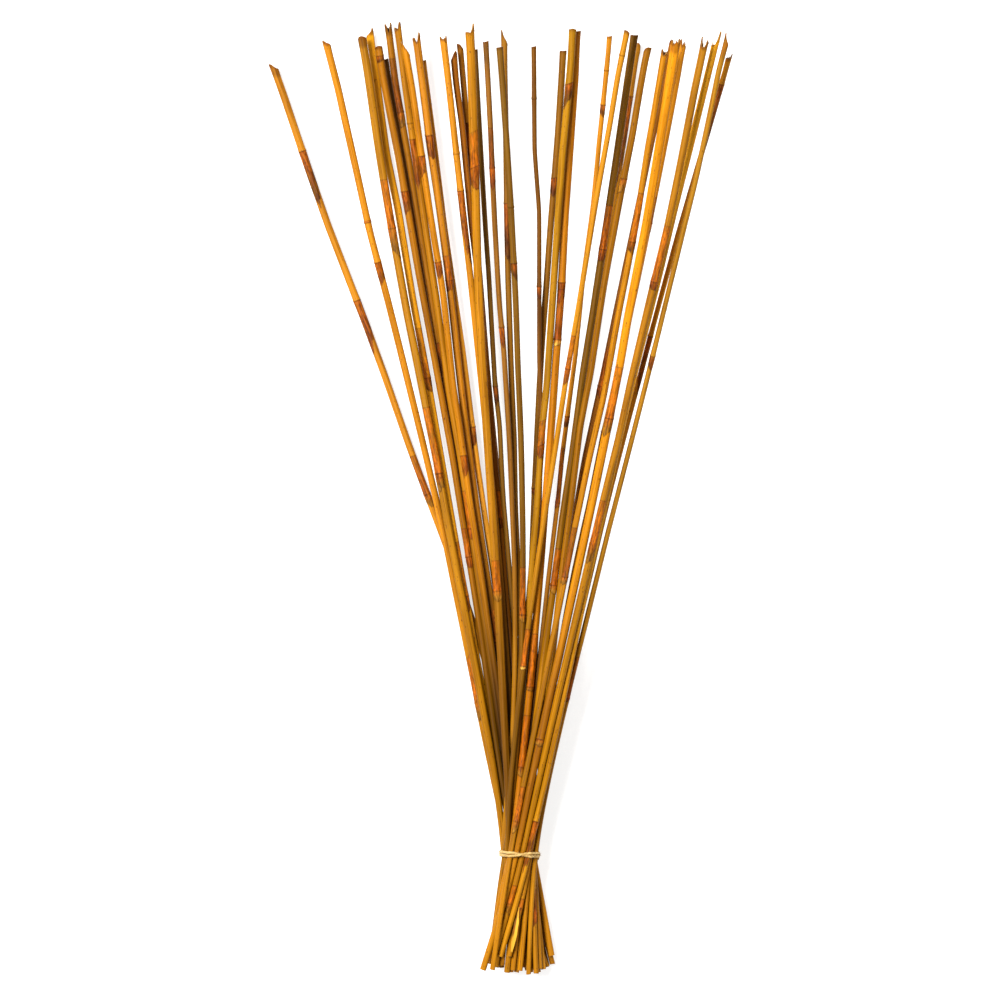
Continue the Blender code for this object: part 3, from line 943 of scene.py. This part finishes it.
        # painted shade: depth darkens the cut end's pith towards black down the hollow
        depth = np.zeros(len(s))
        depth[:count] = np.clip(rim_back[::-1] / (2.5 * MM), 0, 1)
        depth[-count:] = np.clip(rim_back / (2.5 * MM), 0, 1)
        depth *= share < 0.8
        grain = grain_at(turn, self.path.radius(s)[:, None],
                         (s + 0.37 * self.number)[:, None])
        low, feet = self.shade_and_gold_shares(s)
        values = skin_values(grain, found["dye"], ring=found["ring"], depth=depth[:, None],
                             low=low[:, None], feet=feet[:, None])
        return Shell(self.path.rings(s, turn, reach, shift), values, (count - 2, count - 2))

    def splinters(self) -> list[Shell]:
        """Thin fibres that stand up from a broken tip, each a bent five-sided spindle.

        A fibre starts inside the wall, runs on past the rim and curls outwards by the
        square of the distance run. Its radius falls to almost nothing.

        Returns:
            One shell for each fibre.
        """
        _, many = self.look.tip.value
        sides, steps = 5, 9
        turn = np.arange(sides) * 2 * math.pi / sides
        run = np.linspace(0, 1, steps)
        made = []
        for _ in range(many):
            facing = self.rng.uniform(-1.6, 1.6)
            length = self.rng.uniform(5, 13) * MM
            thick = self.rng.uniform(0.3, 0.55) * MM
            start = self.path.length - 5 * MM
            spine = self.path.rings(start + run * length, np.array([facing]), np.full(
                (steps, 1), 0.8 * float(self.path.radii[-1])))[:, 0]
            outward = unit(spine[0] - self.path.at(np.array([start]))[0])
            spine = spine + (run ** 2 * length * self.rng.uniform(0.1, 0.7))[:, None] * outward
            fibre = Path(spine, thick * (1 - 0.9 * run))
            reach = np.repeat((thick * (1 - 0.92 * run))[:, None], sides, 1)
            points = fibre.rings(fibre.along, turn, reach, up=(0.3, 0, 1))
            dye = np.broadcast_to(linear(self.torn, 0.7), (steps, sides, 4))
            grain = grain_at(turn, thick, (fibre.along + self.number)[:, None])
            made.append(Shell(points, skin_values(grain, dye)))
        return made

    def build(self, pith: bpy.types.Material) -> bpy.types.Object:
        """Builds and dresses the stem and puts it in its solid's place.

        Args:
            pith: the material of cut ends.

        Returns:
            The finished piece.
        """
        skin = ReedSkin(self.look.tint, self.look.foot).build(
            f"dried_reed_skin_{self.number:02d}")
        piece = shells_to_object(f"stem_{self.number:02d}", [self.skin(), *self.splinters()],
                                 [skin, pith])
        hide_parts(self.name)
        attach(piece, "root")
        return piece


@dataclass
class LooseSheath:
    """A curled strip of pale dry sheath that still hangs on the foot of one stem."""

    stem: Stem
    top_mm: float = -430.0
    bottom_mm: float = -477.0
    thick_mm: float = 0.28
    tint: str = "#F8C050"
    columns: int = 12              # across each of its two faces

    def build(self) -> bpy.types.Object:
        """Builds the strip as a thin closed shell round part of the stem.

        The strip runs along the stem's path. Half its width, as an angle, swells from
        0.14 at the top to 0.64 and ends blunt at 0.3, and it stands off by 0.2 to 1.7 mm,
        most past the middle. The strip's left edge is brown over its upper half. Ring
        columns go out along the outer face and back along the inner one.

        Returns:
            The finished piece.
        """
        path = self.stem.path
        high, low = self.stem.along_of(self.top_mm), self.stem.along_of(self.bottom_mm)
        run = np.linspace(0, 1, 40)
        s = high + (low - high) * run
        half = (0.14 + 0.50 * smoothstep(0.05, 0.35, run)
                - 0.34 * smoothstep(0.7, 1.0, run)) * (1 + 0.06 * np.sin(23 * run))
        sweep = np.linspace(-1, 1, self.columns)
        both = np.concatenate([sweep, sweep[::-1]])
        face = np.repeat([1.0, 0.0], self.columns)
        angle = 0.5 - 0.9 * run[:, None] + half[:, None] * both[None]
        lift = (0.25 + 1.5 * bell(run - 0.55, 0.35)[:, None] * (0.4 + 0.6 * both[None] ** 2)) * MM
        reach = path.radius(s)[:, None] + lift + face[None] * self.thick_mm * MM
        brown = (smoothstep(0.0, 0.4, both)[None] * smoothstep(0.12, 0.2, run)[:, None]
                 * (1 - smoothstep(0.55, 0.8, run))[:, None])
        dye = np.concatenate([np.broadcast_to(Tone.BROWN.colour[:3], (*reach.shape, 3)),
                              0.8 * brown[..., None]], -1)
        shell = Shell(path.rings(s, angle, reach),
                      skin_values(grain_at(angle, 3 * MM, s[:, None]), dye))
        skin = ReedSkin(self.tint, self.tint, roughness=0.5).build("dry_leaf_sheath")
        piece = shells_to_object("loose_sheath", [shell], [skin])
        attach(piece, "root")
        return piece


# ------------------------------------------------------------------ raffia
@dataclass
class RaffiaTie:
    """Two turns of twisted raffia round the waist, crossing on top, knotted at the side."""

    stems: list[Stem]
    strand_mm: float = 1.4         # radius of the twisted strand
    twist_mm: float = 15.0         # length of one full twist
    apart_mm: float = 1.7          # each turn's distance from the tie's middle
    flat: float = 0.52             # thickness off the stems, as a share of the radius
    slope: float = -0.03           # how the tie falls from left to right
    cross_turn: float = 0.38       # where the two turns cross, from the knot, in turns
    knot_turn_deg: float = -38.0
    columns: int = 28

    def waist(self) -> tuple[np.ndarray, float]:
        """The raffia's middle line round the stems.

        In each of 720 directions d, the band's point is c + r d for the stem circle
        (c, r) that reaches furthest along d: the outline of a band pulled tight.

        Returns:
            The band's points across the bunch, and its place along Y.
        """
        low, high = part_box("raffia_tie")
        y = (low[1] + high[1]) / 2
        clear = (self.strand_mm * self.flat + 0.1) * MM
        circles = []
        for at in (y - 3.5 * MM, y, y + 3.5 * MM):
            for stem in self.stems:
                places = stem.path.places
                x, z = (np.interp(at, places[:, 1], places[:, k]) for k in (0, 2))
                circles.append((x, z, np.interp(at, places[:, 1], stem.path.radii) + clear))
        circles = np.array(circles)
        turn = math.radians(self.knot_turn_deg) + np.linspace(0, 2 * math.pi, 720, False)
        ray = np.stack([np.cos(turn), np.sin(turn)], -1)
        best = (circles[:, :2] @ ray.T + circles[:, 2:]).argmax(0)
        return circles[best, :2] + circles[best, 2:] * ray, y

    def route(self) -> Path:
        """Two turns on the band, from the knot round to the knot.

        The two turns lie side by side and change sides where they cross, by a smooth
        step. There the second turn is lifted over the first by a bell.

        Returns:
            The strand's path.
        """
        band, y = self.waist()
        closed = np.vstack([band, band[:1]])
        run = distance_run(closed)
        turns = np.linspace(0, 2, 420)
        at = (turns % 1.0) * run[-1]
        flat = np.stack([np.interp(at, run, closed[:, k]) for k in (0, 1)], -1)
        middle = band.mean(0)
        outward = unit(flat - middle)
        first = smoothstep(self.cross_turn - 0.07, self.cross_turn + 0.07, turns)
        second = smoothstep(self.cross_turn + 0.93, self.cross_turn + 1.07, turns)
        aside = self.apart_mm * MM * (2 * first - 2 * second - 1)
        over = bell(turns - 1 - self.cross_turn, 0.035) * 1.5 * MM
        loose = 0.12 * MM * (1 + np.sin(turns * 19.0))
        flat = flat + (over + loose)[:, None] * outward
        tilt = self.slope * (flat[:, 0] - middle[0])
        places = np.stack([flat[:, 0], y + aside + tilt, flat[:, 1]], -1)
        full = 1.0 + 0.18 * np.sin(2 * math.pi * turns + 2.6)
        return Path(places, self.strand_mm * MM * full)

    def strand(self, path: Path, centre: np.ndarray, twist: float, step: float) -> Shell:
        """A twisted ribbon bundle along a path.

        The radius is the path's times 1 + 0.13 cos 3u + 0.08 cos 7u + 0.05 cos 11u, where
        u is the angle less the twist so far, so the lobes wind along the strand. The top
        of each ring faces away from centre, and the ring is pressed flat that way.

        Args:
            path: the line that it follows.
            centre: a point inside the bunch.
            twist: the length of one full twist.
            step: distance between rows.

        Returns:
            The closed surface.
        """
        s = np.arange(0, path.length, step)
        turn = np.arange(self.columns) * 2 * math.pi / self.columns
        wound = turn[None] - 2 * math.pi * s[:, None] / twist
        lobes = (1 + 0.13 * np.cos(3 * wound) + 0.08 * np.cos(7 * wound + 1.0)
                 + 0.05 * np.cos(11 * wound))
        reach = path.radius(s)[:, None] * lobes * 0.92
        ahead = path.heading(s)
        out = path.at(s) - centre
        out = unit(out - (out * ahead).sum(1, keepdims=True) * ahead)
        side = np.cross(out, ahead)
        flat = np.cos(turn)[None, :, None] * out[:, None] * self.flat
        wide = np.sin(turn)[None, :, None] * side[:, None] * 1.12
        points = path.at(s)[:, None] + reach[..., None] * (flat + wide)
        return Shell(points, {"grain": grain_at(wound, 1.7 * MM, s[:, None])})

    def knot(self, path: Path, centre: np.ndarray) -> list[Shell]:
        """A small overhand knot over the strand's two ends, with two short cut tails.

        The knot's line is the trefoil (sin t + 2 sin 2t, cos t - 2 cos 2t, -sin 3t)
        scaled to the lump. A tail leaves it along the bunch and droops outwards.

        Args:
            path: the strand's line.
            centre: a point inside the bunch.

        Returns:
            The lump and the two tails.
        """
        start = path.at(np.array([0.0]))[0]
        start[1] = (path.places[0, 1] + path.places[-1, 1]) / 2
        out = unit((start - centre) * (1, 0, 1))
        along = np.array([0, 1.0, 0])
        up = np.cross(out, along)
        steps = 90
        t = np.linspace(0.3, 2 * math.pi + 0.2, steps)
        loop = (np.multiply.outer(-np.sin(3 * t) * 1.3 * MM + 1.1 * MM, out)
                + np.multiply.outer((np.sin(t) + 2 * np.sin(2 * t)) * 1.45 * MM, along)
                + np.multiply.outer((np.cos(t) - 2 * np.cos(2 * t)) * 0.95 * MM, up))
        made = [self.strand(Path(start + loop, np.full(steps, 1.25 * MM)),
                            start - 6 * MM * out, 9 * MM, 0.4 * MM)]
        for way, drop, length in ((1.0, -0.35, 12.0), (-0.8, -0.2, 9.0)):
            run = np.linspace(0, 1, 24)[:, None]
            line = (start + 1.4 * MM * out + run * length * MM * (way * along + drop * up)
                    + run ** 2 * 1.5 * MM * out)
            made.append(self.strand(Path(line, 1.2 * MM * (1 - 0.25 * run[:, 0])),
                                    centre, 14 * MM, 0.5 * MM))
        return made

    def wisps(self, path: Path, centre: np.ndarray) -> list[Shell]:
        """A few loose threads that lie along the strand and lift away from it a little.

        Args:
            path: the strand's line.
            centre: a point inside the bunch.

        Returns:
            One shell for each thread.
        """
        rng = np.random.default_rng(77)
        made = []
        sides, steps = 5, 20
        turn = np.arange(sides) * 2 * math.pi / sides
        run = np.linspace(0, 1, steps)[:, None]
        for _ in range(9):
            begin = rng.uniform(0, path.length - 30 * MM)
            s = begin + np.linspace(0, rng.uniform(12, 26) * MM, steps)
            spine = path.at(s)
            out = unit((spine - centre) * (1, 0, 1))
            lift = (1.25 + rng.uniform(0.3, 1.3) * run ** 2) * path.radius(s)[:, None]
            spine = spine + out * lift
            spine[:, 1] += rng.uniform(-1.6, 1.6) * MM + rng.uniform(-3, 3) * MM * run[:, 0] ** 2
            thread = Path(spine, np.full(steps, 0.18 * MM))
            reach = np.repeat(0.2 * MM * (1 - 0.8 * run), sides, 1)
            points = thread.rings(thread.along, turn, reach, up=(0.1, 1, 0.1))
            grain = np.zeros((steps, sides, 3)) + rng.uniform(0, 0.01, 3)
            grain[..., 2] += thread.along[:, None]
            made.append(Shell(points, {"grain": grain}))
        return made

    def build(self) -> bpy.types.Object:
        """Builds and dresses the tie and puts it in its solid's place.

        Returns:
            The finished piece.
        """
        path = self.route()
        centre = path.places.mean(0)
        shells = [self.strand(path, centre, self.twist_mm * MM, 0.55 * MM),
                  *self.knot(path, centre), *self.wisps(path, centre)]
        piece = shells_to_object("raffia_binding", shells, [RaffiaFibre().build()])
        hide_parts("raffia_tie")
        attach(piece, "root")
        return piece


# ------------------------------------------------------------------ studio
@dataclass
class Studio:
    """A plain pale floor, soft light from the upper left, and a camera straight above."""

    floor_size: float = 60.0
    floor_z: float = -0.0006
    floor_glow: float = 0.70
    view_width: float = 1.055      # what the camera sees across at the stems' height
    camera_height: float = 14.0
    sensor_mm: float = 36.0

    def floor(self) -> None:
        """A pale matte paper floor, lit a little from below like a light table."""
        half = self.floor_size / 2
        mesh = bpy.data.meshes.new("studio_floor")
        mesh.from_pydata([(x * half, y * half, self.floor_z) for x, y in (
            (-1, -1), (1, -1), (1, 1), (-1, 1))], [], [(0, 1, 2, 3)])
        made, _, shader = blank_material("studio_paper")
        finish(shader, {
            "Base Color": linear("#B4B4B2"), "Roughness": 0.9,
            "Emission Color": linear("#FFFFFF"), "Emission Strength": self.floor_glow}, {})
        mesh.materials.append(made)
        plane = bpy.data.objects.new("studio_floor", mesh)
        bpy.context.scene.collection.objects.link(plane)

    def lamp(self, name: str, place: tuple[float, float, float], size: float, power: float
             ) -> None:
        """An area light that faces the middle of the bunch.

        Args:
            name: the light's name.
            place: where it stands.
            size: the side of its square.
            power: its strength in watts.
        """
        light = bpy.data.lights.new(name, "AREA")
        light.energy, light.size = power, size
        made = bpy.data.objects.new(name, light)
        made.location = place
        back = np.array(place) / np.linalg.norm(place)
        made.rotation_euler = (math.acos(back[2]), 0, math.atan2(back[1], back[0])
                               + math.pi / 2)
        bpy.context.scene.collection.objects.link(made)

    def world(self) -> None:
        """Even pale light from all round, so that no side goes black."""
        sky = bpy.data.worlds.new("studio_air")
        sky.use_nodes = True
        back = sky.node_tree.nodes["Background"]
        back.inputs["Color"].default_value = linear("#FFFFFF")
        back.inputs["Strength"].default_value = 0.40
        bpy.context.scene.world = sky

    def camera(self) -> None:
        """A long lens straight above the bunch, with +Y up in the picture."""
        data = bpy.data.cameras.new("camera_above")
        data.sensor_width = self.sensor_mm
        data.lens = self.sensor_mm * (self.camera_height - 0.05) / self.view_width
        data.clip_end = 100.0
        made = bpy.data.objects.new("camera_above", data)
        made.location = (0, 0, self.camera_height)
        bpy.context.scene.collection.objects.link(made)
        bpy.context.scene.camera = made

    def build(self) -> None:
        """Sets up the floor, the lights, the camera and plain colour reproduction."""
        self.floor()
        self.world()
        self.lamp("key_soft", (-2.4, 1.3, 5.2), 2.2, 790.0)
        self.lamp("fill_soft", (4.0, -1.2, 3.8), 3.0, 90.0)
        self.camera()
        bpy.context.scene.view_settings.view_transform = "Standard"


# ------------------------------------------------------------------ the whole bunch
def main() -> None:
    logging.basicConfig(level=logging.INFO, format="%(message)s")
    pith = ReedPith().build()
    stems = [Stem(number, look) for number, look in enumerate(STEMS, 1)]
    pieces = [stem.build(pith) for stem in stems]
    pieces += [LooseSheath(stems[-1]).build(), RaffiaTie(stems).build()]
    faces = [len(piece.data.polygons) for piece in pieces]
    for piece, many in zip(pieces, faces):
        LOG.info("%s, %d faces", piece.name, many)
    LOG.info("faces in all: %d", sum(faces))
    Studio().build()


if __name__ == "__main__":
    main()
